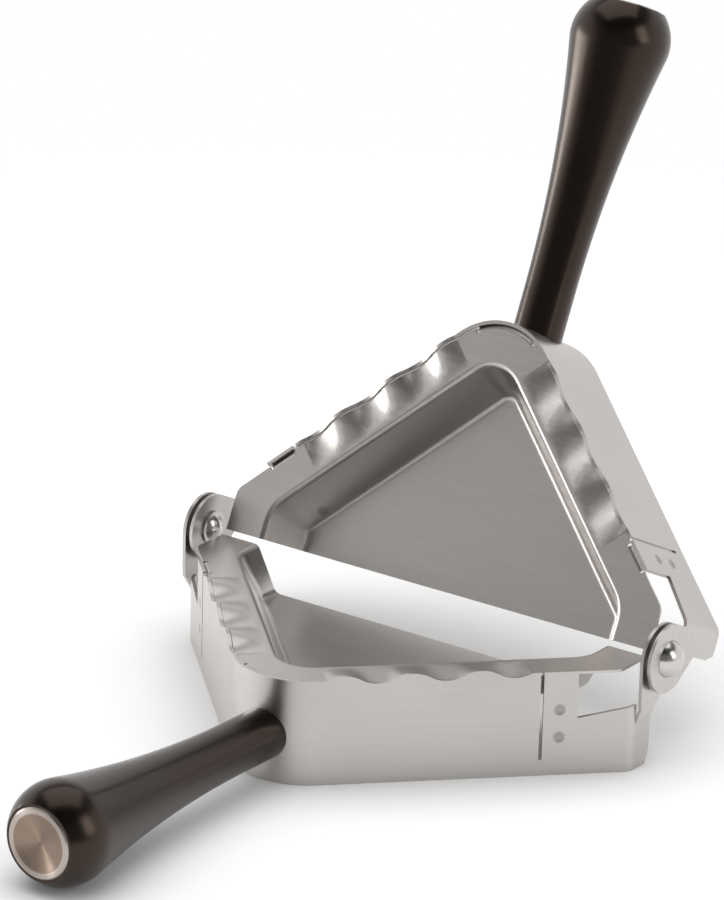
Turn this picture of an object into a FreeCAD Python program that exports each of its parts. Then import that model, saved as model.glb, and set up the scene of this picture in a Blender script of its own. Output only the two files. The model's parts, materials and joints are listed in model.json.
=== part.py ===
import FreeCAD, Part
import math
import os

os.makedirs("parts", exist_ok=True)
V = FreeCAD.Vector
X_AXIS = V(1, 0, 0)
Z_AXIS = V(0, 0, 1)
ROOT2 = math.sqrt(2)
SAME_PLACE = 0.001          # points and levels closer than this are the same

# Driving dimensions, in millimetres and degrees
# One half is a right-angled triangle in plan: two straight sides and the hinge line
side = 120.0                # straight side of a half, between its two sharp corners
hinge_height = 30.0         # hinge axis above the table
open_angle = 63.8           # rise of the upper half above flat-open, as it stands at rest
skirt_sheet = 1.0
pan_sheet = 0.8

# Skirt: the cutter band
skirt_drop = 0.3            # top edge of the skirt below the hinge axis
corner_radius = 20.0        # outside of the rounded corner that carries the handle
end_setback = 10.95         # sharp hinge corner to the outside of the end tab
end_bend_radius = 4.0       # outside of the bend from the side to the end tab
tab_gap = 2.3               # edge of the end tab to the hinge line
tab_corner_width = 1.7      # bevel at the foot of the end tab
tab_corner_height = 3.8
slit_from_end = 40.2        # sharp hinge corner to the slit
slit_width = 0.9
slit_foot = 4.5             # slit's lower end above the cutter edge
notch_from_end = 30.4       # sharp hinge corner to the near side of the notch
notch_depth = 13.8          # near side of the notch, below the hinge axis
notch_slope = 9.7           # rise of the notch's lower edge towards the hinge, in degrees
weld_radius = 1.6
weld_dent = 0.25
weld_depths = (11.2, 19.1)  # the two spot welds of a tongue, below the hinge axis

# Hinge ears and rivets
ear_radius = 9.5
ear_side_drop = 10.0        # straight flank of the ear, below the hinge axis
ear_throat_drop = 12.2      # top of the end tab's free edge, below the hinge axis
ear_neck_drop = 12.5        # where the ear's neck starts its offset
ear_offset_run = 4.5        # height over which an ear is set out
inner_ear_set_out = 1.7     # inner ear beyond the end tab
rivet_radius = 2.5
rivet_running_fit = 0.05    # radial play of the rivet in the ears
rivet_head_radius = 5.1
rivet_head_height = 3.6
rivet_tail_radius = 3.8
rivet_tail_height = 1.8
hinge_washer_radius = 6.5
hinge_washer_sheet = 1.2
burr_radius = 4.8
burr_sheet = 0.6
side_play = 0.05            # axial play at each face that turns on another

# Pan: the pressed dish with the fluted rim
pan_clearance = 0.3         # rim's edge to the inside of the skirt
rim_drop = 0.9              # rim below the hinge axis: half of the gap for the dough
rim_width = 10.5
fold_gap = 0.6              # pan's edge to the hinge line
pan_end_clearance = 1.5     # pan's blunt end to the rivet's tail
pan_end_land = 12.5         # pan's blunt end to the dish
pan_end_radius = 4.0
dish_depth = 13.0
dish_slope_run = 6.5        # how far the sides come in from the rim to the floor
dish_corner_radius = 10.0
dish_end_radius = 10.0
floor_bend = 2.5            # inside of the bend from the dish's side to its floor
rim_bend = 1.2              # inside of the bend from the rim to the dish's side
flute_pitch = 18.4          # of the rim's flutes and of the skirt's scallops, which follow them
flute_height = 1.2          # crest above, and trough below, the plain rim
flute_length = 9.0          # across the rim, from the edge to where a flute runs out
flute_margin = 2.0          # plain rim left at each end of a run of flutes
weld_tab_margin = 0.7       # pan's weld tab inside the tongue, on each side
weld_tab_foot = 7.0         # foot of the weld tab above the cutter edge
tab_bend = 0.8              # inside of the bend from the rim to a tab
tab_relief = 0.6            # gap beside each tab where the rim is cut back
corner_tab_half_angle = 30.0
corner_tab_foot = 4.5       # foot of the pan's corner tab above the cutter edge
corner_tab_clearance = 0.05

# Handle, fastened by a screw from inside the corner
handle_height = 13.1        # handle's axis above the cutter edge, at the skirt
handle_rise = 1.0           # upward tilt of the handle, in degrees
handle_length = 93.9
grip_neck_radius = 7.1
grip_neck_length = 12.0     # straight part of the neck
grip_bulge_radius = 14.1
grip_bulge_curve = 13.0     # radius of the swell that leads from the flare to the bulge
grip_bulge_from_end = 9.5
grip_end_radius = 10.3
grip_seat_clearance = 0.05
cap_radius = 9.6
cap_rim_width = 1.7
cap_rim_rise = 0.4          # cap's rim beyond the grip's end
cap_hollow = 1.3            # depth of the cap's hollow centre below its rim
cap_thickness = 2.9
cap_stem_radius = 3.0
cap_stem_length = 9.0
screw_radius = 2.5
screw_hole_play = 0.15
screw_head_radius = 4.3
screw_head_height = 3.0
screw_reach = 13.0          # screw inside the insert
socket_radius = 1.45        # hexagon recess of the screw, to its corners
socket_depth = 1.8
lock_washer_radius = 4.6
lock_washer_sheet = 1.2
saddle_radius = 6.0
saddle_thickness = 3.2      # at its middle
insert_radius = 4.2
insert_length = 15.0
insert_collar_radius = 5.0
insert_collar = 1.5
insert_recess = 2.2         # insert's mouth inside the grip's end
thread_clearance = 0.03
press_clearance = 0.02

# Planes and stations that follow from the sizes above, in the frame of one half:
# X along the hinge axis, the corner towards -Y, and z = 0 on the hinge axis
wall = side / 2                                     # middle of the hinge line to a side
sharp_corner = wall * ROOT2
tab_plane = sharp_corner - end_setback              # outside of both end tabs
joint_gap = hinge_washer_sheet + 2 * side_play      # between the two ears of a hinge
inner_ear_plane = tab_plane + inner_ear_set_out     # outside of the inner ears
outer_ear_set_out = inner_ear_set_out + joint_gap + skirt_sheet
tab_flat = end_bend_radius * math.tan(math.pi / 8) - end_setback    # where the end tab is flat
skirt_floor = -hinge_height
skirt_top = -skirt_drop
corner_centre = V(0, -(wall - corner_radius) * ROOT2, 0)
corner_face = corner_centre.y - corner_radius       # outermost line of the rounded corner
slit_at = wall - slit_from_end                      # stations along a side, from its middle
notch_at = wall - notch_from_end
weld_at = (slit_at + notch_at) / 2
rim_wall = wall - skirt_sheet - pan_clearance
rim_top = -rim_drop
head_seat = tab_plane + outer_ear_set_out + side_play   # underside of the rivet's head
burr_face = inner_ear_plane - skirt_sheet - side_play   # burr's face against the inner ear
tail_seat = burr_face - burr_sheet
pan_end = tail_seat - rivet_tail_height - pan_end_clearance
flutes_from = -(wall - corner_radius) + flute_margin
flute_count = int((slit_at - flute_margin - flutes_from) / flute_pitch)
flutes_to = flutes_from + flute_count * flute_pitch
dish_slope = math.atan2(dish_depth, dish_slope_run)
side_outset = pan_sheet / math.sin(dish_slope)      # dish's side, level across its sheet
tab_root = tab_bend + pan_sheet                     # a tab's outer face to where the rim is flat
weld_tab_at = slit_at + slit_width / 2 + weld_tab_margin
weld_tab_width = notch_at - weld_tab_margin - weld_tab_at
corner_tab_face = corner_face + skirt_sheet + corner_tab_clearance
handle_drop = hinge_height - handle_height          # handle's axis below the hinge axis
saddle_seat = corner_radius - skirt_sheet - pan_sheet - 2 * corner_tab_clearance
saddle_face = saddle_seat - saddle_thickness - corner_radius    # along the handle's axis
screw_seat = saddle_face - lock_washer_sheet
cap_top = handle_length + cap_rim_rise
cap_seat = cap_top - cap_thickness


def polygon(points):
    return Part.makePolygon(points + [points[0]])


def prism(points, along):
    return Part.Face(polygon(points)).extrude(along)


def rod(radius, start, along):
    return Part.makeCylinder(radius, along.Length, start, along)


def ring(outer, inner, start, along):
    return rod(outer, start, along).cut(rod(inner, start, along))


def rounded_path(points, radii):
    """Edges along a run of points, with a tangent arc at each inner point."""
    edges = []
    start = points[0]
    for before, corner, after, radius in zip(points, points[1:], points[2:], radii):
        arrive = (before - corner).normalize()
        leave = (after - corner).normalize()
        half_turn = arrive.getAngle(leave) / 2
        reach = radius / math.tan(half_turn)
        bisector = (arrive + leave).normalize()
        middle = corner + bisector * (radius / math.sin(half_turn) - radius)
        first = corner + arrive * reach
        last = corner + leave * reach
        edges.append(Part.LineSegment(start, first).toShape())
        edges.append(Part.Arc(first, middle, last).toShape())
        start = last
    edges.append(Part.LineSegment(start, points[-1]).toShape())
    return edges


def side_path(side_offset, end_x, end_y, z):
    """Corners of a half's outline, from the left end round the handle's corner to the right."""
    bend_y = end_x - side_offset * ROOT2
    return [V(-end_x, end_y, z), V(-end_x, bend_y, z), V(0, -side_offset * ROOT2, z),
            V(end_x, bend_y, z), V(end_x, end_y, z)]


def on_right_side(shape):
    """From a side's own axes (along it, inward from the middle, up) to the right-hand side."""
    placed = shape.copy()
    placed.rotate(V(), Z_AXIS, 45)
    return placed


def on_both_sides(shape):
    right = on_right_side(shape)
    return [right, right.mirror(V(), X_AXIS)]


def skirt_band():
    outer = rounded_path(side_path(wall, tab_plane, -tab_gap, skirt_floor),
                         [end_bend_radius, corner_radius, end_bend_radius])
    inner = rounded_path(side_path(wall - skirt_sheet, tab_plane - skirt_sheet, -tab_gap, skirt_floor),
                         [end_bend_radius - skirt_sheet, corner_radius - skirt_sheet,
                          end_bend_radius - skirt_sheet])
    ends = [Part.LineSegment(V(sign * (tab_plane - skirt_sheet), -tab_gap, skirt_floor),
                             V(sign * tab_plane, -tab_gap, skirt_floor)).toShape()
            for sign in (-1, 1)]
    outline = Part.Wire(Part.__sortEdges__(outer + inner + ends))
    return Part.Face(outline).extrude(Z_AXIS * (skirt_top - skirt_floor))


def slit():
    return Part.makeBox(slit_width, 3 * skirt_sheet, hinge_height,
                        V(slit_at - slit_width / 2, -wall - skirt_sheet, skirt_floor + slit_foot))


def notch():
    """Everything above the notch's slanted lower edge, from the tongue round to the end tab."""
    reach = end_setback + notch_from_end
    rise = reach * math.tan(math.radians(notch_slope))
    points = [V(notch_at, -wall - skirt_sheet, -notch_depth),
              V(notch_at + reach, -wall - skirt_sheet, rise - notch_depth),
              V(notch_at + reach, -wall - skirt_sheet, hinge_height),
              V(notch_at, -wall - skirt_sheet, hinge_height)]
    return prism(points, V(0, end_setback * ROOT2 + skirt_sheet, 0))


def weld_dents():
    ball_radius = (weld_radius ** 2 + weld_dent ** 2) / (2 * weld_dent)
    return [Part.makeSphere(ball_radius, V(weld_at, -wall - ball_radius + weld_dent, -depth))
            for depth in weld_depths]


def ear(set_out):
    """Flat hinge ear, set out from the end tab, with its neck down to the tab."""
    face = tab_plane + set_out - skirt_sheet
    throat = V(0, -tab_gap, -ear_throat_drop)
    tangent = (math.atan2(throat.z, throat.y) + math.acos(ear_radius / throat.Length))
    lobe = [V(face, ear_radius * math.cos(a), ear_radius * math.sin(a))
            for a in (tangent, (tangent + math.pi) / 2, math.pi)]
    neck = [lobe[2], V(face, -ear_radius, -ear_side_drop), V(face, tab_flat, -ear_neck_drop),
            V(face, -tab_gap, -ear_neck_drop), throat + V(face, 0, 0), lobe[0]]
    edges = [Part.Arc(*lobe).toShape()]
    edges += [Part.LineSegment(a, b).toShape() for a, b in zip(neck, neck[1:])]
    plate = Part.Face(Part.Wire(edges)).extrude(X_AXIS * skirt_sheet)
    foot = -ear_neck_drop - ear_offset_run
    start = tab_plane - skirt_sheet
    offset = prism([V(start, tab_flat, foot), V(start + skirt_sheet, tab_flat, foot),
                    V(face + skirt_sheet, tab_flat, -ear_neck_drop),
                    V(face, tab_flat, -ear_neck_drop)], V(0, -tab_gap - tab_flat, 0))
    hole = rod(rivet_radius + rivet_running_fit, V(face - skirt_sheet, 0, 0), X_AXIS * 3 * skirt_sheet)
    return plate.fuse(offset).cut(hole)


def neck_relief():
    """Room in the end tab where an ear's neck is set out."""
    return Part.makeBox(3 * skirt_sheet, tab_gap - tab_flat, hinge_height,
                        V(tab_plane - 2 * skirt_sheet, tab_flat, -ear_neck_drop - ear_offset_run))


def tab_bevel():
    left = tab_plane - 3 * skirt_sheet
    return prism([V(left, -tab_gap, skirt_floor), V(left, -tab_gap - tab_corner_width, skirt_floor),
                  V(left, -tab_gap, skirt_floor + tab_corner_height)], X_AXIS * 6 * skirt_sheet)


def handle_axis(shape):
    """From the handle's own axis, +Z outward with its start on the skirt's corner, to the half."""
    placed = shape.copy()
    placed.rotate(V(), X_AXIS, 90 - handle_rise)
    placed.translate(V(0, corner_face, -handle_drop))
    return placed


def screw_way(radius):
    reach = corner_radius
    return handle_axis(rod(radius, V(0, 0, -reach), Z_AXIS * 2 * reach))


def flute_edge(wave, y, z):
    """Edge along a run of flutes: half waves of height wave in turn up and down, as tangent arcs."""
    half_pitch = flute_pitch / 2
    edges = []
    for i in range(2 * flute_count):
        first = V(flutes_from + i * half_pitch, y, z)
        last = first + X_AXIS * half_pitch
        if wave:
            crest = (first + last) / 2 + Z_AXIS * wave * (-1) ** i
            edges.append(Part.Arc(first, crest, last).toShape())
        else:
            edges.append(Part.LineSegment(first, last).toShape())
    return edges


def scallops(wave):
    """Crests that stand on the skirt's plain top edge along the flutes, and troughs cut into it."""
    waves = flute_edge(wave, -wall, skirt_top)
    chords = flute_edge(0, -wall, skirt_top)
    lenses = [Part.Face(Part.Wire([arc, chord])).extrude(V(0, skirt_sheet, 0))
              for arc, chord in zip(waves, chords)]
    crests = [lens for lens in lenses if lens.BoundBox.ZMax > skirt_top + SAME_PLACE]
    troughs = [lens for lens in lenses if lens.BoundBox.ZMin < skirt_top - SAME_PLACE]
    return crests, troughs


def make_skirt():
    right_crests, right_troughs = scallops(flute_height)
    left_crests, left_troughs = scallops(-flute_height)
    crests = [on_right_side(c) for c in right_crests]
    crests += [on_right_side(c).mirror(V(), X_AXIS) for c in left_crests]
    troughs = [on_right_side(t) for t in right_troughs]
    troughs += [on_right_side(t).mirror(V(), X_AXIS) for t in left_troughs]
    dents = [d for dent in weld_dents() for d in on_both_sides(dent)]
    tab_cuts = [cut for right in (tab_bevel(), neck_relief()) for cut in (right, right.mirror(V(), X_AXIS))]
    cuts = on_both_sides(slit()) + on_both_sides(notch()) + troughs + dents + tab_cuts
    inner_ear = ear(inner_ear_set_out)
    outer_ear = ear(outer_ear_set_out).mirror(V(), X_AXIS)
    skirt = skirt_band().cut(cuts).fuse(crests + [inner_ear, outer_ear])
    return skirt.cut(screw_way(screw_radius + screw_hole_play)).removeSplitter()


def dish_outline(inset, z):
    """Closed outline of the dish at one level, run past the hinge line so that it is open there."""
    dish_wall = rim_wall - rim_width - inset
    end_x = pan_end - pan_end_land - inset
    path = rounded_path(side_path(dish_wall, end_x, dish_end_radius, z),
                        [dish_end_radius - inset, dish_corner_radius - inset, dish_end_radius - inset])
    path.append(Part.LineSegment(V(end_x, dish_end_radius, z), V(-end_x, dish_end_radius, z)).toShape())
    return Part.Wire(path)


def dish_block(depth, outset, bend):
    """Solid of the dish from the rim's top down to depth, with all its sides set out by outset."""
    foot = dish_slope_run * depth / dish_depth
    floor = rim_top - depth
    levels = [dish_outline(-outset, rim_top), dish_outline(foot - outset, floor)]
    block = Part.makeLoft(levels, True, True)
    return block.makeFillet(bend, edges_at(block, floor))


def edges_at(shape, z):
    """Level edges at one height, without those that lie on or beyond the fold."""
    return [e for e in shape.Edges
            if abs(e.BoundBox.ZMin - z) < SAME_PLACE and abs(e.BoundBox.ZMax - z) < SAME_PLACE
            and e.BoundBox.YMin < -fold_gap - SAME_PLACE]


def edges_on(shape, wire):
    return [e for e in shape.Edges if all(wire.distToShape(Part.Vertex(e.valueAt(p)))[0] < SAME_PLACE
                                          for p in (e.FirstParameter, e.LastParameter))]


def edge_strip(wave, y):
    """Closed section of the rim sheet along the flutes."""
    edges = flute_edge(wave, y, rim_top) + flute_edge(wave, y, rim_top - pan_sheet)
    for t in (flutes_from, flutes_to):
        edges.append(Part.LineSegment(V(t, y, rim_top), V(t, y, rim_top - pan_sheet)).toShape())
    return Part.Wire(Part.__sortEdges__(edges))


def flute_band(wave):
    """Fluted stretch of the rim, wavy at its edge and straight where the flutes run out."""
    edge = -rim_wall
    return Part.makeLoft([edge_strip(wave, edge), edge_strip(0, edge + flute_length)], True, True)


def flute_window():
    return Part.makeBox(flutes_to - flutes_from, flute_length + skirt_sheet, 4 * pan_sheet,
                        V(flutes_from, -rim_wall - skirt_sheet, rim_top - 2 * pan_sheet))


def tab_section(face, foot_height):
    """Section of a tab that bends down from the rim, with its outer face at y = face."""
    root = face + tab_root + pan_sheet
    under = rim_top - pan_sheet
    back = face + pan_sheet
    foot = skirt_floor + foot_height
    edges = rounded_path([V(0, root, rim_top), V(0, face, rim_top), V(0, face, foot)], [tab_root])
    edges += rounded_path([V(0, root, under), V(0, back, under), V(0, back, foot)], [tab_bend])
    edges.append(Part.LineSegment(V(0, root, rim_top), V(0, root, under)).toShape())
    edges.append(Part.LineSegment(V(0, face, foot), V(0, back, foot)).toShape())
    return Part.Face(Part.Wire(Part.__sortEdges__(edges)))


def weld_tab():
    """Tab turned down from the rim, flat on the back of the skirt's tongue."""
    tab = tab_section(skirt_sheet - wall, weld_tab_foot).extrude(X_AXIS * weld_tab_width)
    tab.translate(X_AXIS * weld_tab_at)
    return tab


def weld_tab_window():
    return Part.makeBox(weld_tab_width + 2 * tab_relief, tab_root + skirt_sheet, 4 * pan_sheet,
                        V(weld_tab_at - tab_relief, -wall, rim_top - 2 * pan_sheet))


def corner_sector(shape, half_angle):
    """Turns a face at the middle of the rounded corner into a ring sector about the corner."""
    placed = shape.copy()
    placed.rotate(corner_centre, Z_AXIS, -half_angle)
    return placed.revolve(corner_centre, Z_AXIS, 2 * half_angle)


def corner_tab():
    """Tab turned down from the rim at the rounded corner, held there by the handle's screw."""
    return corner_sector(tab_section(corner_tab_face, corner_tab_foot), corner_tab_half_angle)


def corner_tab_window():
    spread = corner_tab_half_angle + math.degrees(tab_relief / corner_radius)
    section = polygon([V(0, corner_tab_face + tab_root, rim_top - 2 * pan_sheet),
                       V(0, corner_face, rim_top - 2 * pan_sheet), V(0, corner_face, rim_top + pan_sheet),
                       V(0, corner_tab_face + tab_root, rim_top + pan_sheet)])
    return corner_sector(Part.Face(section), spread)


def make_pan():
    rim_radius = corner_radius - skirt_sheet - pan_clearance
    outline = rounded_path(side_path(rim_wall, pan_end, -fold_gap, rim_top - pan_sheet),
                           [pan_end_radius, rim_radius, pan_end_radius])
    outline.append(Part.LineSegment(V(pan_end, -fold_gap, rim_top - pan_sheet),
                                    V(-pan_end, -fold_gap, rim_top - pan_sheet)).toShape())
    rim = Part.Face(Part.Wire(outline)).extrude(Z_AXIS * pan_sheet)
    windows = on_both_sides(flute_window()) + on_both_sides(weld_tab_window())
    rim = rim.cut(windows + [corner_tab_window()])
    shell = dish_block(dish_depth + pan_sheet, side_outset, floor_bend + pan_sheet)
    beyond_fold = Part.makeBox(2 * side, side, side, V(-side, -fold_gap, -side / 2))
    right_flutes = on_right_side(flute_band(flute_height))
    left_flutes = on_right_side(flute_band(-flute_height)).mirror(V(), X_AXIS)
    pan = rim.fuse([shell, right_flutes, left_flutes, corner_tab()] + on_both_sides(weld_tab()))
    cavity = dish_block(dish_depth, 0, floor_bend)
    pan = pan.cut([cavity, beyond_fold, screw_way(screw_radius + screw_hole_play)]).removeSplitter()
    mouth = dish_outline(0, rim_top)
    under_mouth = dish_outline(pan_sheet / math.tan(dish_slope) - side_outset, rim_top - pan_sheet)
    pan = pan.makeFillet(rim_bend + pan_sheet, edges_on(pan, mouth))
    return pan.makeFillet(rim_bend, edges_on(pan, under_mouth))


def make_screw_saddle():
    """Spacer with a round back that seats in the corner and a flat face for the screw."""
    blank = handle_axis(ring(saddle_radius, screw_radius + screw_hole_play, V(0, 0, saddle_face),
                             Z_AXIS * saddle_thickness))
    return blank.common(rod(saddle_seat, corner_centre - Z_AXIS * hinge_height, Z_AXIS * hinge_height))


def make_lock_washer():
    return handle_axis(ring(lock_washer_radius, screw_radius + screw_hole_play, V(0, 0, screw_seat),
                            Z_AXIS * lock_washer_sheet))


def dome(radius, height):
    """Spherical cap on z = 0, round the Z axis."""
    ball = (radius ** 2 + height ** 2) / (2 * height)
    half_angle = math.asin(min(1, radius / ball)) / 2
    middle = V(ball * math.sin(half_angle), 0, height - ball + ball * math.cos(half_angle))
    outline = [Part.LineSegment(V(), V(radius, 0, 0)).toShape(),
               Part.Arc(V(radius, 0, 0), middle, V(0, 0, height)).toShape(),
               Part.LineSegment(V(0, 0, height), V()).toShape()]
    return Part.Face(Part.Wire(outline)).revolve(V(), Z_AXIS, 360)


def make_handle_screw():
    shank = rod(screw_radius, V(0, 0, screw_seat), Z_AXIS * (insert_recess + screw_reach - screw_seat))
    head = dome(screw_head_radius, screw_head_height)
    corners = [V(socket_radius * math.cos(i * math.pi / 3), socket_radius * math.sin(i * math.pi / 3),
                 screw_head_height - socket_depth) for i in range(6)]
    head = head.cut(prism(corners, Z_AXIS * 2 * socket_depth))
    head.rotate(V(), X_AXIS, 180)
    head.translate(V(0, 0, screw_seat))
    return handle_axis(shank.fuse(head).removeSplitter())


def insert_body(play):
    """Outside of the threaded insert, with all its faces set out by play."""
    body = rod(insert_radius + play, V(0, 0, insert_recess - play), Z_AXIS * (insert_length + 2 * play))
    collar = rod(insert_collar_radius + play, V(0, 0, insert_recess + insert_length - insert_collar - play),
                 Z_AXIS * (insert_collar + 2 * play))
    return body.fuse(collar).removeSplitter()


def make_handle_insert():
    bore = rod(screw_radius + thread_clearance, V(0, 0, insert_recess), Z_AXIS * insert_length)
    return handle_axis(insert_body(0).cut(bore))


def end_cap_body(play):
    """Disc and stem of the end cap without its hollow, with all its faces set out by play."""
    disc = rod(cap_radius + play, V(0, 0, cap_seat - play), Z_AXIS * (cap_thickness + 2 * play))
    stem = rod(cap_stem_radius + play, V(0, 0, cap_seat - cap_stem_length - play), Z_AXIS * cap_stem_length)
    return disc.fuse(stem).removeSplitter()


def make_end_cap():
    hollow = dome(cap_radius - cap_rim_width, cap_hollow)
    hollow.rotate(V(), X_AXIS, 180)
    hollow.translate(V(0, 0, cap_top))
    cap = end_cap_body(0).cut(hollow)
    rim = [e for e in cap.Edges if abs(e.BoundBox.ZMin - cap_top) < SAME_PLACE]
    return handle_axis(cap.makeChamfer(cap_rim_rise, rim))


def level_arc(centre, radius, start, end):
    """Arc in the XZ plane; the two angles are turned from +X towards +Z."""
    points = [centre + V(radius * math.cos(a), 0, radius * math.sin(a))
              for a in (start, (start + end) / 2, end)]
    return Part.Arc(*points).toShape()


def grip_profile(tail):
    """Half outline of the grip: a straight neck, a long hollow flare, the swell and the round end."""
    bulge_at = handle_length - grip_bulge_from_end
    run = bulge_at - grip_neck_length
    rise = grip_bulge_radius - grip_neck_radius
    flare_curve = (run ** 2 + rise ** 2) / (2 * rise) - grip_bulge_curve
    turn = 2 * math.atan2(rise, run)
    fall = grip_bulge_radius - grip_end_radius
    end_curve = (grip_bulge_from_end ** 2 + fall ** 2) / (2 * fall)
    end_turn = math.asin(grip_bulge_from_end / end_curve)
    start = [V(0, 0, -tail), V(grip_neck_radius, 0, -tail), V(grip_neck_radius, 0, grip_neck_length)]
    close = [V(grip_end_radius, 0, handle_length), V(0, 0, handle_length), V(0, 0, -tail)]
    edges = [Part.LineSegment(a, b).toShape() for a, b in zip(start, start[1:])]
    edges.append(level_arc(V(grip_neck_radius + flare_curve, 0, grip_neck_length), flare_curve,
                           math.pi, math.pi - turn))
    edges.append(level_arc(V(grip_bulge_radius - grip_bulge_curve, 0, bulge_at), grip_bulge_curve, -turn, 0))
    edges.append(level_arc(V(grip_bulge_radius - end_curve, 0, bulge_at), end_curve, 0, end_turn))
    edges += [Part.LineSegment(a, b).toShape() for a, b in zip(close, close[1:])]
    return Part.Wire(edges)


def make_handle_grip():
    tail = corner_radius - math.sqrt(corner_radius ** 2 - grip_neck_radius ** 2) + skirt_sheet
    grip = Part.Face(grip_profile(tail)).revolve(V(), Z_AXIS, 360)
    way = rod(screw_radius + screw_hole_play, V(0, 0, -tail), Z_AXIS * (tail + insert_recess))
    grip = handle_axis(grip.cut([way, insert_body(press_clearance), end_cap_body(press_clearance)]))
    corner = rod(corner_radius + grip_seat_clearance, corner_centre - Z_AXIS * hinge_height,
                 Z_AXIS * 2 * hinge_height)
    return grip.cut(corner)


def along_hinge(shape):
    """From a rivet's own axis, +Z outward from the middle of the mold, to the right-hand hinge."""
    placed = shape.copy()
    placed.rotate(V(), V(0, 1, 0), 90)
    return placed


def make_hinge_rivet():
    head = dome(rivet_head_radius, rivet_head_height)
    head.translate(V(0, 0, head_seat))
    tail = dome(rivet_tail_radius, rivet_tail_height)
    tail.rotate(V(), X_AXIS, 180)
    tail.translate(V(0, 0, tail_seat))
    shank = rod(rivet_radius, V(0, 0, tail_seat), Z_AXIS * (head_seat - tail_seat))
    return along_hinge(shank.fuse([head, tail]).removeSplitter())


def make_hinge_washer():
    return along_hinge(ring(hinge_washer_radius, rivet_radius + rivet_running_fit,
                            V(0, 0, inner_ear_plane + side_play), Z_AXIS * hinge_washer_sheet))


def make_rivet_burr():
    return along_hinge(ring(burr_radius, rivet_radius + press_clearance, V(0, 0, tail_seat),
                            Z_AXIS * burr_sheet))


def half_pieces():
    return {
        "pan": make_pan(),
        "skirt": make_skirt(),
        "screw_saddle": make_screw_saddle(),
        "lock_washer": make_lock_washer(),
        "handle_screw": make_handle_screw(),
        "handle_insert": make_handle_insert(),
        "handle_grip": make_handle_grip(),
        "end_cap": make_end_cap(),
    }


def hinge_pieces():
    return {
        "hinge_rivet": make_hinge_rivet(),
        "hinge_washer": make_hinge_washer(),
        "rivet_burr": make_rivet_burr(),
    }


def assemble():
    """Every piece by its node's name, with z = 0 on the hinge axis."""
    nodes = {}
    for name, shape in half_pieces().items():
        nodes["lower_" + name] = shape
        raised = shape.copy()
        raised.rotate(V(), Z_AXIS, 180)
        raised.rotate(V(), X_AXIS, open_angle)
        nodes["upper_" + name] = raised
    for name, shape in hinge_pieces().items():
        nodes[name + "_right"] = shape
        nodes[name + "_left"] = shape.mirror(V(), X_AXIS)
    return nodes


# The origin is on the table, under the middle of the whole mold
pieces = assemble()
box = Part.makeCompound(list(pieces.values())).optimalBoundingBox(False, False)
origin = V((box.XMin + box.XMax) / 2, (box.YMin + box.YMax) / 2, box.ZMin)
for node, piece in pieces.items():
    piece.translate(origin * -1)
    piece.exportStep("parts/" + node + ".step")
print("hinge axis at y %.3f, z %.3f" % (-origin.y, -origin.z))
print("size %.2f x %.2f x %.2f" % (box.XLength, box.YLength, box.ZLength))
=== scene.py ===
import bmesh
import bpy
import json
import math
from mathutils import Matrix, Vector

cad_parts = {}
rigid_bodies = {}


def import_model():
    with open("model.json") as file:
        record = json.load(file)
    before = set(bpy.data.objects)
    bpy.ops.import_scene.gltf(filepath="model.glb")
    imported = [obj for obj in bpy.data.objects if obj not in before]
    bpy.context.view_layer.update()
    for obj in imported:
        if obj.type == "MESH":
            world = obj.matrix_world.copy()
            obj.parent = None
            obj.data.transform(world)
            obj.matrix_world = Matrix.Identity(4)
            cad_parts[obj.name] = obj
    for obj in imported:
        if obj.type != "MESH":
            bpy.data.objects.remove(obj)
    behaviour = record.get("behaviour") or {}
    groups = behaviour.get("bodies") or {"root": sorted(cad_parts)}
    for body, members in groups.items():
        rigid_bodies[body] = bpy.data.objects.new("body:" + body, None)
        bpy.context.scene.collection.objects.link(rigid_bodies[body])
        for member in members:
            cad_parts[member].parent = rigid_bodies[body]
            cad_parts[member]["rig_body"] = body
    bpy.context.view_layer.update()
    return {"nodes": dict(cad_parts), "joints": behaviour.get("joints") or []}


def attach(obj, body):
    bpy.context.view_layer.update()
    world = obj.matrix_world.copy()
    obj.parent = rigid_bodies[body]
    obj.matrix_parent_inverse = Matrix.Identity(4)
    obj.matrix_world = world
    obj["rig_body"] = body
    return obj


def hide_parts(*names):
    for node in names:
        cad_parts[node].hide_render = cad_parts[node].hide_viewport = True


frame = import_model()
nodes = frame["nodes"]
MM = 0.001

# Where the two halves and their handles are, in metres, from the same sizes as the solids
hinge = frame["joints"][0]
HINGE_AT = Vector(hinge["pos_m"])
OPEN_ANGLE = math.radians(-hinge["range_deg"][0])
CORNER_FACE = -76.569 * MM        # outermost line of a half's rounded corner, from the hinge axis
HANDLE_DROP = 16.9 * MM           # handle's axis below the hinge axis
HANDLE_RISE = math.radians(1.0)
HALVES = {
    "lower": Matrix.Translation(HINGE_AT),
    "upper": (Matrix.Translation(HINGE_AT) @ Matrix.Rotation(OPEN_ANGLE, 4, "X")
              @ Matrix.Rotation(math.pi, 4, "Z")),
}
TO_HANDLE = (Matrix.Translation((0, CORNER_FACE, -HANDLE_DROP))
             @ Matrix.Rotation(math.pi / 2 - HANDLE_RISE, 4, "X"))

# Edges of the sheets
SHEARED = math.radians(35)        # an edge that turns by more than this was cut, not bent
SKIRT_CREASE = math.radians(11)   # a bend in the skirt that looks crisp from this angle up
FLAT = math.radians(0.5)          # faces that differ by less than this lie in one plane
SAME_POINT = 0.002 * MM
SKIRT_BREAK = 0.2 * MM            # width of the broken edges
PAN_BREAK = 0.15 * MM

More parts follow.
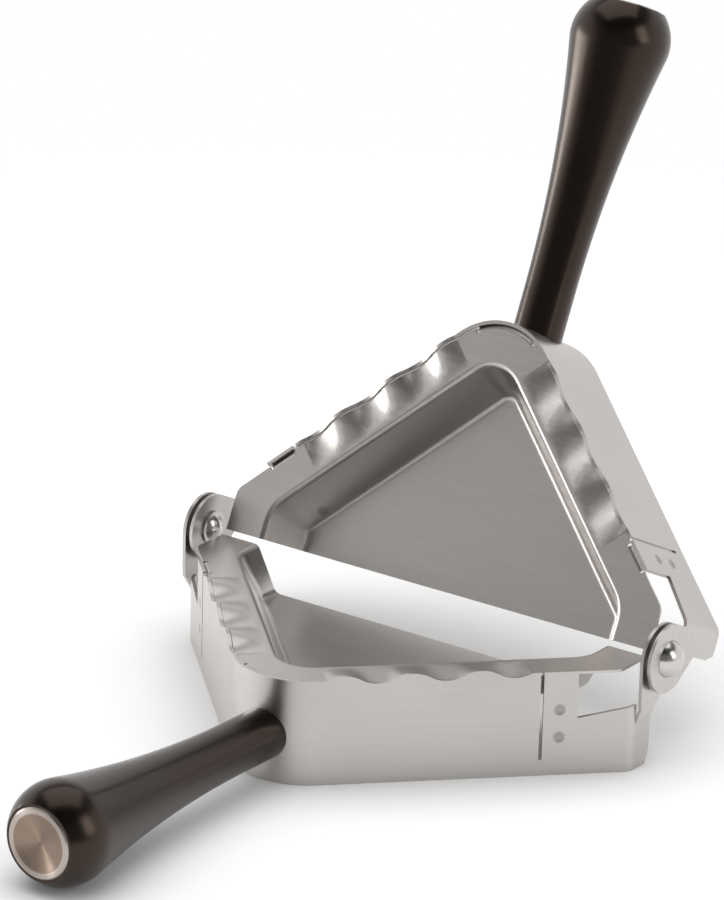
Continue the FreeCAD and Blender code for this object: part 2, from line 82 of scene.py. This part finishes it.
# Brush lines on the sheets: some 0.05 mm apart, but drawn at 0.5 mm, so that they show
ALONG_BRUSH = 1 / (30 * MM)
ACROSS_BRUSH = 1 / (0.5 * MM)
SKIRT_GRAIN = (ALONG_BRUSH, ALONG_BRUSH, ACROSS_BRUSH)
SKIRT_ACROSS = (0.06, 0, 1)       # a hair off upright, so that it never lies along a face's normal
PAN_GRAIN = (ALONG_BRUSH, ACROSS_BRUSH, ACROSS_BRUSH)
PAN_ACROSS = (0, 0.8, 0.6)        # lies across the lines on the floor and on the sloped walls

# Spot welds on the skirt's tongues
WELD_FROM_MIDDLE = 24.7 * MM      # along a straight side, from its middle towards the hinge
WELD_DEPTHS = (11.2 * MM, 19.1 * MM)
WELD_RADIUS = 1.1 * MM
WELD_HALO = 2.0 * MM              # radius at which the weld's tint has faded out

# End cap
CAP_HOLLOW = 7.8 * MM             # radius of the hollow, where the polished rim starts
CAP_RIM = 8.0 * MM                # radius at which the rim has its own colour

# Spring washer under each handle screw's head
WASHER_SIZES = {"Inner Radius": 2.65 * MM, "Outer Radius": 4.6 * MM, "Bar Height": 0.95 * MM,
                "Spring Rise": 0.25 * MM, "Turns": 0.96}
WASHER_SEAT = -6.3 * MM           # underside of the washer along the handle's axis

# Settings that carry a direction of a piece along when the piece turns
PIECE_TO_WORLD = {"vector_type": "VECTOR", "convert_from": "OBJECT", "convert_to": "WORLD"}


def linear(hex_colour):
    """sRGB hex to linear RGBA."""
    parts = [int(hex_colour[i:i + 2], 16) / 255 for i in (1, 3, 5)]
    return [c / 12.92 if c <= 0.04045 else ((c + 0.055) / 1.055) ** 2.4 for c in parts] + [1.0]


def add(tree, kind, inputs=None, **settings):
    """One node with its settings; an input is a value, or the output that feeds it."""
    made = tree.nodes.new(kind)
    for name, value in settings.items():
        setattr(made, name, value)
    for socket, value in (inputs or {}).items():
        if isinstance(value, bpy.types.NodeSocket):
            tree.links.new(value, made.inputs[socket])
        else:
            made.inputs[socket].default_value = value
    return made


def new_material(name):
    material = bpy.data.materials.new(name)
    material.use_nodes = True
    material.node_tree.nodes.clear()
    return material, material.node_tree


def own_coordinates(tree, place):
    """Object coordinates seen from a half's or a handle's own axes."""
    at = add(tree, "ShaderNodeTexCoord")
    own = add(tree, "ShaderNodeMapping", {
        "Vector": at.outputs["Object"], "Location": place.translation,
        "Rotation": place.to_euler()}, vector_type="TEXTURE")
    return own.outputs["Vector"]


def weld_marks(tree, at):
    """1 on the two spots of each tongue where the heat of the weld has dulled the sheet."""
    size = add(tree, "ShaderNodeVectorMath", {0: at}, operation="ABSOLUTE")
    along = add(tree, "ShaderNodeVectorMath", {
        0: size.outputs[0], 1: (math.sqrt(0.5), -math.sqrt(0.5), 0)}, operation="DOT_PRODUCT")
    down = add(tree, "ShaderNodeSeparateXYZ", {"Vector": size.outputs[0]})
    spot = add(tree, "ShaderNodeCombineXYZ", {
        "X": along.outputs["Value"], "Y": down.outputs["Z"]})
    near = [add(tree, "ShaderNodeVectorMath", {
        0: spot.outputs[0], 1: (WELD_FROM_MIDDLE, depth, 0)}, operation="DISTANCE")
        for depth in WELD_DEPTHS]
    nearest = add(tree, "ShaderNodeMath", {
        0: near[0].outputs["Value"], 1: near[1].outputs["Value"]}, operation="MINIMUM")
    heat = add(tree, "ShaderNodeMapRange", {
        "Value": nearest.outputs[0], "From Min": WELD_RADIUS, "From Max": WELD_HALO,
        "To Min": 1.0, "To Max": 0.0}, interpolation_type="SMOOTHSTEP")
    return heat.outputs["Result"]


def brushed_stainless(name, half, grain, across):
    """Cold-rolled stainless sheet, belt-brushed: a satin grey with fine straight lines that
    spread its highlights across the lines, and a few duller patches from handling."""
    material, tree = new_material(name)
    place = HALVES[half]
    at = own_coordinates(tree, place)
    lines = add(tree, "ShaderNodeVectorMath", {0: at, 1: grain}, operation="MULTIPLY")
    brush = add(tree, "ShaderNodeTexNoise", {
        "Vector": lines.outputs[0], "Scale": 1.0, "Detail": 3.0, "Roughness": 0.6})
    patches = add(tree, "ShaderNodeTexNoise", {
        "Vector": at, "Scale": 1 / (35 * MM), "Detail": 2.0})
    colour = add(tree, "ShaderNodeMix", {
        "Factor": brush.outputs["Fac"], "A": linear("#bcb7b3"), "B": linear("#cdc9c6")},
        data_type="RGBA")
    tint = add(tree, "ShaderNodeMix", {
        "Factor": weld_marks(tree, at), "A": colour.outputs["Result"], "B": linear("#a59f9a")},
        data_type="RGBA")
    dull = add(tree, "ShaderNodeMath", {
        0: brush.outputs["Fac"], 1: patches.outputs["Fac"]}, operation="ADD")
    rough = add(tree, "ShaderNodeMapRange", {
        "Value": dull.outputs[0], "From Min": 0.6, "From Max": 1.4, "To Min": 0.27, "To Max": 0.40})
    relief = add(tree, "ShaderNodeBump", {
        "Height": brush.outputs["Fac"], "Strength": 0.25, "Distance": 0.02 * MM})
    tangent = add(tree, "ShaderNodeVectorTransform", {
        "Vector": place.to_3x3() @ Vector(across)}, **PIECE_TO_WORLD)
    sheet = add(tree, "ShaderNodeBsdfPrincipled", {
        "Base Color": tint.outputs["Result"], "Metallic": 1.0,
        "Roughness": rough.outputs["Result"], "Anisotropic": 0.5,
        "Normal": relief.outputs["Normal"], "Tangent": tangent.outputs["Vector"]})
    add(tree, "ShaderNodeOutputMaterial", {"Surface": sheet.outputs[0]})
    return material


def polished_stainless():
    """Cold-headed stainless, barrel-polished: bright, with faint hairline scratches."""
    material, tree = new_material("polished_stainless")
    at = add(tree, "ShaderNodeTexCoord").outputs["Object"]
    scratches = add(tree, "ShaderNodeTexNoise", {
        "Vector": at, "Scale": 1 / (0.7 * MM), "Detail": 4.0, "Distortion": 1.5})
    rough = add(tree, "ShaderNodeMapRange", {
        "Value": scratches.outputs["Fac"], "From Min": 0.3, "From Max": 0.7,
        "To Min": 0.16, "To Max": 0.27})
    colour = add(tree, "ShaderNodeMix", {
        "Factor": scratches.outputs["Fac"], "A": linear("#c2beba"), "B": linear("#d2cfcc")},
        data_type="RGBA")
    relief = add(tree, "ShaderNodeBump", {
        "Height": scratches.outputs["Fac"], "Strength": 0.15, "Distance": 0.02 * MM})
    steel = add(tree, "ShaderNodeBsdfPrincipled", {
        "Base Color": colour.outputs["Result"], "Metallic": 1.0,
        "Roughness": rough.outputs["Result"], "Normal": relief.outputs["Normal"]})
    add(tree, "ShaderNodeOutputMaterial", {"Surface": steel.outputs[0]})
    return material


def spun_stainless_painted_reflection(name, half):
    """Stainless disc, faced on a lathe: fine rings round its middle turn its highlight into wedges,
    and its rim is brighter. The hollow's warm dark colour is painted reflection of the table."""
    material, tree = new_material(name)
    place = HALVES[half] @ TO_HANDLE
    at = own_coordinates(tree, place)
    axis = add(tree, "ShaderNodeVectorMath", {0: at, 1: (1, 1, 0)}, operation="MULTIPLY")
    radius = add(tree, "ShaderNodeVectorMath", {0: axis.outputs[0]}, operation="LENGTH")
    # The tool's rings are some 0.05 mm apart; they are drawn at 0.35 mm, so that they show
    rings = add(tree, "ShaderNodeTexNoise", {
        "W": radius.outputs["Value"], "Scale": 1 / (0.35 * MM), "Detail": 2.0},
        noise_dimensions="1D")
    # Painted reflection: these warm dark colours of the hollow stand in for the table that the
    # dished face mirrors; the steel itself is paler
    colour = add(tree, "ShaderNodeMix", {
        "Factor": rings.outputs["Fac"], "A": linear("#8c7a6d"), "B": linear("#9a897b")},
        data_type="RGBA")
    rim = add(tree, "ShaderNodeMapRange", {
        "Value": radius.outputs["Value"], "From Min": CAP_HOLLOW, "From Max": CAP_RIM})
    rim_over_painted_reflection = add(tree, "ShaderNodeMix", {
        "Factor": rim.outputs["Result"], "A": colour.outputs["Result"], "B": linear("#baafa8")},
        data_type="RGBA")
    rough = add(tree, "ShaderNodeMapRange", {
        "Value": rings.outputs["Fac"], "From Min": 0.3, "From Max": 0.7,
        "To Min": 0.36, "To Max": 0.42})
    relief = add(tree, "ShaderNodeBump", {
        "Height": rings.outputs["Fac"], "Strength": 0.1, "Distance": 0.02 * MM})
    whole = add(tree, "ShaderNodeTexCoord")
    outwards = add(tree, "ShaderNodeVectorMath", {
        0: whole.outputs["Object"], 1: place.translation}, operation="SUBTRACT")
    tangent = add(tree, "ShaderNodeVectorTransform", {
        "Vector": outwards.outputs[0]}, **PIECE_TO_WORLD)
    disc = add(tree, "ShaderNodeBsdfPrincipled", {
        "Base Color": rim_over_painted_reflection.outputs["Result"], "Metallic": 1.0,
        "Roughness": rough.outputs["Result"], "Anisotropic": 0.92,
        "Normal": relief.outputs["Normal"], "Tangent": tangent.outputs["Vector"]})
    add(tree, "ShaderNodeOutputMaterial", {"Surface": disc.outputs[0]})
    return material


def moulded_black_nylon():
    """Glass-filled nylon from a spark-eroded mould: warm black, satin, with a fine even grain."""
    material, tree = new_material("moulded_black_nylon")
    at = add(tree, "ShaderNodeTexCoord").outputs["Object"]
    # The mould's grain is some 0.1 mm; it is drawn at 0.4 mm, so that it shows
    grain = add(tree, "ShaderNodeTexNoise", {
        "Vector": at, "Scale": 1 / (0.4 * MM), "Detail": 3.0})
    handled = add(tree, "ShaderNodeTexNoise", {
        "Vector": at, "Scale": 1 / (22 * MM), "Detail": 3.0})
    colour = add(tree, "ShaderNodeMix", {
        "Factor": handled.outputs["Fac"], "A": linear("#080605"), "B": linear("#0f0c0a")},
        data_type="RGBA")
    rough = add(tree, "ShaderNodeMapRange", {
        "Value": handled.outputs["Fac"], "From Min": 0.3, "From Max": 0.7,
        "To Min": 0.20, "To Max": 0.27})
    relief = add(tree, "ShaderNodeBump", {
        "Height": grain.outputs["Fac"], "Strength": 0.12, "Distance": 0.03 * MM})
    nylon = add(tree, "ShaderNodeBsdfPrincipled", {
        "Base Color": colour.outputs["Result"], "Roughness": rough.outputs["Result"], "IOR": 1.5,
        "Specular IOR Level": 0.54, "Specular Tint": linear("#ffdfcb"),
        "Normal": relief.outputs["Normal"]})
    add(tree, "ShaderNodeOutputMaterial", {"Surface": nylon.outputs[0]})
    return material


def turned_brass(name, half):
    """Free-cutting brass, turned: yellow, with close tool rings along the handle's axis."""
    material, tree = new_material(name)
    at = own_coordinates(tree, HALVES[half] @ TO_HANDLE)
    along = add(tree, "ShaderNodeSeparateXYZ", {"Vector": at})
    # The tool's rings are some 0.1 mm apart; they are drawn at 0.3 mm, so that they show
    rings = add(tree, "ShaderNodeTexNoise", {
        "W": along.outputs["Z"], "Scale": 1 / (0.3 * MM), "Detail": 2.0}, noise_dimensions="1D")
    colour = add(tree, "ShaderNodeMix", {
        "Factor": rings.outputs["Fac"], "A": linear("#b8924a"), "B": linear("#d9b76c")},
        data_type="RGBA")
    rough = add(tree, "ShaderNodeMapRange", {
        "Value": rings.outputs["Fac"], "From Min": 0.3, "From Max": 0.7,
        "To Min": 0.22, "To Max": 0.34})
    relief = add(tree, "ShaderNodeBump", {
        "Height": rings.outputs["Fac"], "Strength": 0.3, "Distance": 0.03 * MM})
    brass = add(tree, "ShaderNodeBsdfPrincipled", {
        "Base Color": colour.outputs["Result"], "Metallic": 1.0,
        "Roughness": rough.outputs["Result"], "Normal": relief.outputs["Normal"]})
    add(tree, "ShaderNodeOutputMaterial", {"Surface": brass.outputs[0]})
    return material


def wear(node, material):
    """Gives a CAD node that stays its finish."""
    nodes[node].data.materials.clear()
    nodes[node].data.materials.append(material)


def place_piece(name, mesh, node):
    """A finished piece that stands for a CAD node and moves with the node's body."""
    piece = bpy.data.objects.new(name, mesh)
    bpy.context.scene.collection.objects.link(piece)
    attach(piece, nodes[node]["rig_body"])
    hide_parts(node)


def modified_mesh(mesh, modifiers):
    """The mesh that a list of modifiers, each a kind with its settings, makes of another."""
    blank = bpy.data.objects.new("blank", mesh)
    bpy.context.scene.collection.objects.link(blank)
    for kind, settings in modifiers:
        modifier = blank.modifiers.new(kind.lower(), kind)
        for name, value in settings.items():
            if name.startswith("Socket_"):
                modifier[name] = value
            else:
                setattr(modifier, name, value)
    depsgraph = bpy.context.evaluated_depsgraph_get()
    made = bpy.data.meshes.new_from_object(blank.evaluated_get(depsgraph),
                                           preserve_all_data_layers=True, depsgraph=depsgraph)
    bpy.data.objects.remove(blank)
    return made


def deburred_sheet(node, break_width, crease, face_finish, edge_finish):
    """A pressed piece with its sheared edges broken and burnished, as tumbling leaves them.
    Bends keep their form, and look crisp from the crease angle up."""
    mesh = nodes[node].data.copy()
    mesh.materials.clear()
    mesh.materials.append(face_finish)
    mesh.materials.append(edge_finish)
    sheet = bmesh.new()
    sheet.from_mesh(mesh)
    bmesh.ops.remove_doubles(sheet, verts=sheet.verts, dist=SAME_POINT)
    bmesh.ops.dissolve_limit(sheet, angle_limit=FLAT, verts=sheet.verts, edges=sheet.edges)
    for face in sheet.faces:
        face.smooth = True
    for edge in sheet.edges:
        turn = edge.calc_face_angle(0.0)
        edge.smooth = turn < crease or turn >= SHEARED
    sheet.to_mesh(mesh)
    sheet.free()
    if "custom_normal" in mesh.attributes:
        mesh.attributes.remove(mesh.attributes["custom_normal"])
    made = modified_mesh(mesh, [
        ("BEVEL", {"width": break_width, "segments": 2, "limit_method": "ANGLE",
                   "angle_limit": SHEARED, "material": 1}),
        ("WEIGHTED_NORMAL", {"mode": "FACE_AREA", "keep_sharp": True})])
    place_piece(node + "_sheet", made, node)


def split_washer_tree(finish):
    """A bar of oblong section wound once round into a spring washer, with a gap at its ends."""
    tree = bpy.data.node_groups.new("split_washer", "GeometryNodeTree")
    tree.interface.new_socket("Geometry", in_out="OUTPUT", socket_type="NodeSocketGeometry")
    for size in WASHER_SIZES:
        tree.interface.new_socket(size, in_out="INPUT", socket_type="NodeSocketFloat")
    sizes = add(tree, "NodeGroupInput").outputs
    both = add(tree, "ShaderNodeMath", {
        0: sizes["Inner Radius"], 1: sizes["Outer Radius"]}, operation="ADD")
    mean = add(tree, "ShaderNodeMath", {0: both.outputs[0], 1: 0.5}, operation="MULTIPLY")
    bar = add(tree, "ShaderNodeMath", {
        0: sizes["Outer Radius"], 1: sizes["Inner Radius"]}, operation="SUBTRACT")
    coil = add(tree, "GeometryNodeCurveSpiral", {
        "Resolution": 96, "Rotations": sizes["Turns"], "Start Radius": mean.outputs[0],
        "End Radius": mean.outputs[0], "Height": sizes["Spring Rise"]})
    upright = add(tree, "GeometryNodeSetCurveNormal", {"Curve": coil.outputs[0]})
    section = add(tree, "GeometryNodeCurvePrimitiveQuadrilateral", {
        "Width": bar.outputs[0], "Height": sizes["Bar Height"]})
    swept = add(tree, "GeometryNodeCurveToMesh", {
        "Curve": upright.outputs[0], "Fill Caps": True, "Profile Curve": section.outputs[0]})
    one = add(tree, "GeometryNodeRealizeInstances", {"Geometry": swept.outputs[0]})
    made = add(tree, "GeometryNodeSetMaterial", {"Geometry": one.outputs[0], "Material": finish})
    add(tree, "NodeGroupOutput", {"Geometry": made.outputs[0]})
    return tree


def split_washer(half, tree):
    """The spring washer under the screw's head, which fills the space of its plain solid."""
    named = {item.name: item.identifier for item in tree.interface.items_tree
             if item.in_out == "INPUT"}
    settings = {"node_group": tree}
    for size, value in WASHER_SIZES.items():
        settings[named[size]] = value
    made = modified_mesh(bpy.data.meshes.new(half + "_lock_washer_coil"), [("NODES", settings)])
    middle = WASHER_SEAT + WASHER_SIZES["Bar Height"] / 2
    made.transform(HALVES[half] @ TO_HANDLE @ Matrix.Translation((0, 0, middle)))
    place_piece(half + "_split_washer", made, half + "_lock_washer")


def make_half(half, polished, nylon, coil_tree):
    """One half: its two sheets, its handle and what fastens them."""
    skirt_finish = brushed_stainless(half + "_skirt_brushed_stainless", half,
                                     SKIRT_GRAIN, SKIRT_ACROSS)
    pan_finish = brushed_stainless(half + "_pan_brushed_stainless", half, PAN_GRAIN, PAN_ACROSS)
    deburred_sheet(half + "_skirt", SKIRT_BREAK, SKIRT_CREASE, skirt_finish, polished)
    deburred_sheet(half + "_pan", PAN_BREAK, SHEARED, pan_finish, polished)
    split_washer(half, coil_tree)
    wear(half + "_handle_grip", nylon)
    wear(half + "_end_cap", spun_stainless_painted_reflection(half + "_cap_spun_stainless", half))
    wear(half + "_handle_insert", turned_brass(half + "_insert_turned_brass", half))
    wear(half + "_screw_saddle", polished)
    wear(half + "_handle_screw", polished)


def make_mold():
    """Both halves, and the riveted hinge between them."""
    polished = polished_stainless()
    nylon = moulded_black_nylon()
    coil_tree = split_washer_tree(polished)
    for half in HALVES:
        make_half(half, polished, nylon, coil_tree)
    for end in ("left", "right"):
        for piece in ("hinge_rivet", "hinge_washer", "rivet_burr"):
            wear(piece + "_" + end, polished)


def seen_directly(tree):
    """1 for rays from the camera, a gloss or a clear body, and 0 for the light they scatter."""
    path = add(tree, "ShaderNodeLightPath").outputs
    first = add(tree, "ShaderNodeMath", {
        0: path["Is Camera Ray"], 1: path["Is Glossy Ray"]}, operation="MAXIMUM")
    seen = add(tree, "ShaderNodeMath", {
        0: first.outputs[0], 1: path["Is Transmission Ray"]}, operation="MAXIMUM")
    return seen.outputs[0]


def make_floor():
    """White table: it fades to plain white away from the mold, and keeps the mold's shadow;
    near the mold, a painted glow lifts the open floor and leaves painted shade where the mold
    closes it in.
    """
    reach = 4.0
    below = 0.02 * MM             # a hair under the cutter edge, so that the two faces don't meet
    fade_from, fade_to = 0.2, 0.55
    shadow_reach = 0.15
    mesh = bpy.data.meshes.new("floor")
    mesh.from_pydata([(-reach, -reach, 0), (reach, -reach, 0), (reach, reach, 0),
                      (-reach, reach, 0)], [], [(0, 1, 2, 3)])
    floor = bpy.data.objects.new("floor", mesh)
    bpy.context.scene.collection.objects.link(floor)
    floor.location.z = -below
    material, tree = new_material("white_table")
    at = add(tree, "ShaderNodeTexCoord").outputs["Object"]
    away = add(tree, "ShaderNodeVectorMath", {0: at}, operation="LENGTH")
    fade = add(tree, "ShaderNodeMapRange", {
        "Value": away.outputs["Value"], "From Min": fade_from, "From Max": fade_to},
        interpolation_type="SMOOTHSTEP")
    plain = add(tree, "ShaderNodeEmission", {"Color": linear("#ffffff"), "Strength": 1.0})
    shaded = add(tree, "ShaderNodeBsdfDiffuse", {"Color": linear("#f4f4f4")})
    # Painted light: an emission on the near floor, scaled by ambient occlusion, so that under and
    # beside the mold it leaves painted shade
    open_air = add(tree, "ShaderNodeAmbientOcclusion", {"Distance": shadow_reach})
    painted_lift = add(tree, "ShaderNodeMapRange", {
        "Value": open_air.outputs["AO"], "From Min": 0.3, "From Max": 1.0,
        "To Min": 0.0, "To Max": 0.42})
    painted_glow = add(tree, "ShaderNodeEmission", {
        "Color": linear("#ffffff"), "Strength": painted_lift.outputs["Result"]})
    near = add(tree, "ShaderNodeAddShader", {0: shaded.outputs[0], 1: painted_glow.outputs[0]})
    seen = add(tree, "ShaderNodeMixShader", {
        0: fade.outputs["Result"], 1: near.outputs[0], 2: plain.outputs[0]})
    bounce = add(tree, "ShaderNodeBsdfDiffuse", {"Color": linear("#e8e8e8")})
    table = add(tree, "ShaderNodeMixShader", {
        0: seen_directly(tree), 1: bounce.outputs[0], 2: seen.outputs[0]})
    add(tree, "ShaderNodeOutputMaterial", {"Surface": table.outputs[0]})
    mesh.materials.append(material)


def make_world():
    """White studio walls that give less light than they show, with a dim ceiling and a dim room
    on the camera's side."""
    room_side = (0.50, -0.77, 0.40)
    world = bpy.data.worlds.new("studio")
    world.use_nodes = True
    tree = world.node_tree
    tree.nodes.clear()
    way = add(tree, "ShaderNodeTexCoord").outputs["Generated"]
    towards = add(tree, "ShaderNodeVectorMath", {0: way, 1: room_side}, operation="DOT_PRODUCT")
    room = add(tree, "ShaderNodeMapRange", {
        "Value": towards.outputs["Value"], "From Min": 0.1, "From Max": 0.75,
        "To Min": 1.0, "To Max": 0.18}, interpolation_type="SMOOTHSTEP")
    height = add(tree, "ShaderNodeSeparateXYZ", {"Vector": way})
    ceiling = add(tree, "ShaderNodeMapRange", {
        "Value": height.outputs["Z"], "From Min": 0.50, "From Max": 0.70,
        "To Min": 1.0, "To Max": 0.18}, interpolation_type="SMOOTHSTEP")
    walls = add(tree, "ShaderNodeMath", {
        0: room.outputs["Result"], 1: ceiling.outputs["Result"]}, operation="MULTIPLY")
    white = linear("#ffffff")
    dim = add(tree, "ShaderNodeBackground", {"Color": white, "Strength": 0.42})
    bright = add(tree, "ShaderNodeBackground", {"Color": white, "Strength": walls.outputs[0]})
    both = add(tree, "ShaderNodeMixShader", {
        0: seen_directly(tree), 1: dim.outputs[0], 2: bright.outputs[0]})
    add(tree, "ShaderNodeOutputWorld", {"Surface": both.outputs[0]})
    bpy.context.scene.world = world


def make_softbox(name, at, target, width, height, power):
    lamp = bpy.data.lights.new(name, "AREA")
    lamp.shape = "RECTANGLE"
    lamp.size = width
    lamp.size_y = height
    lamp.energy = power
    softbox = bpy.data.objects.new(name, lamp)
    bpy.context.scene.collection.objects.link(softbox)
    softbox.location = at
    aim = Vector(target) - Vector(at)
    softbox.rotation_euler = aim.to_track_quat("-Z", "Y").to_euler()


def make_camera():
    """At the photograph's angle: fitted to the edges of both halves, for a frame of 724 by 900."""
    from_hinge = Vector((0.7861, -1.1503, 0.5604))
    right = Vector((0.8121, 0.5830, 0.0243))
    up = Vector((-0.2225, 0.2709, 0.9365))
    focal_length, frame_height = 5483.9, 900       # both in pixels
    back = right.cross(up).normalized()
    up = back.cross(right).normalized()
    lens = bpy.data.cameras.new("camera")
    lens.sensor_fit = "VERTICAL"
    lens.sensor_height = 36.0
    lens.lens = lens.sensor_height * focal_length / frame_height
    camera = bpy.data.objects.new("camera", lens)
    bpy.context.scene.collection.objects.link(camera)
    turn = Matrix((right, up, back)).transposed().to_4x4()
    camera.matrix_world = Matrix.Translation(HINGE_AT + from_hinge) @ turn
    bpy.context.scene.camera = camera


make_mold()
make_floor()
make_world()
make_softbox("softbox_above", at=(-0.2, 0.2, 1.3), target=(0, 0, 0.05),
             width=1.5, height=1.3, power=7)
make_softbox("softbox_left", at=(-1.25, -0.45, 0.14), target=(0, 0, 0.05),
             width=1.0, height=0.25, power=5.5)
make_softbox("softbox_right", at=(1.2, 0.1, 0.6), target=(0, 0, 0.06),
             width=0.5, height=0.8, power=3)
make_camera()
bpy.context.scene.view_settings.view_transform = "Standard"
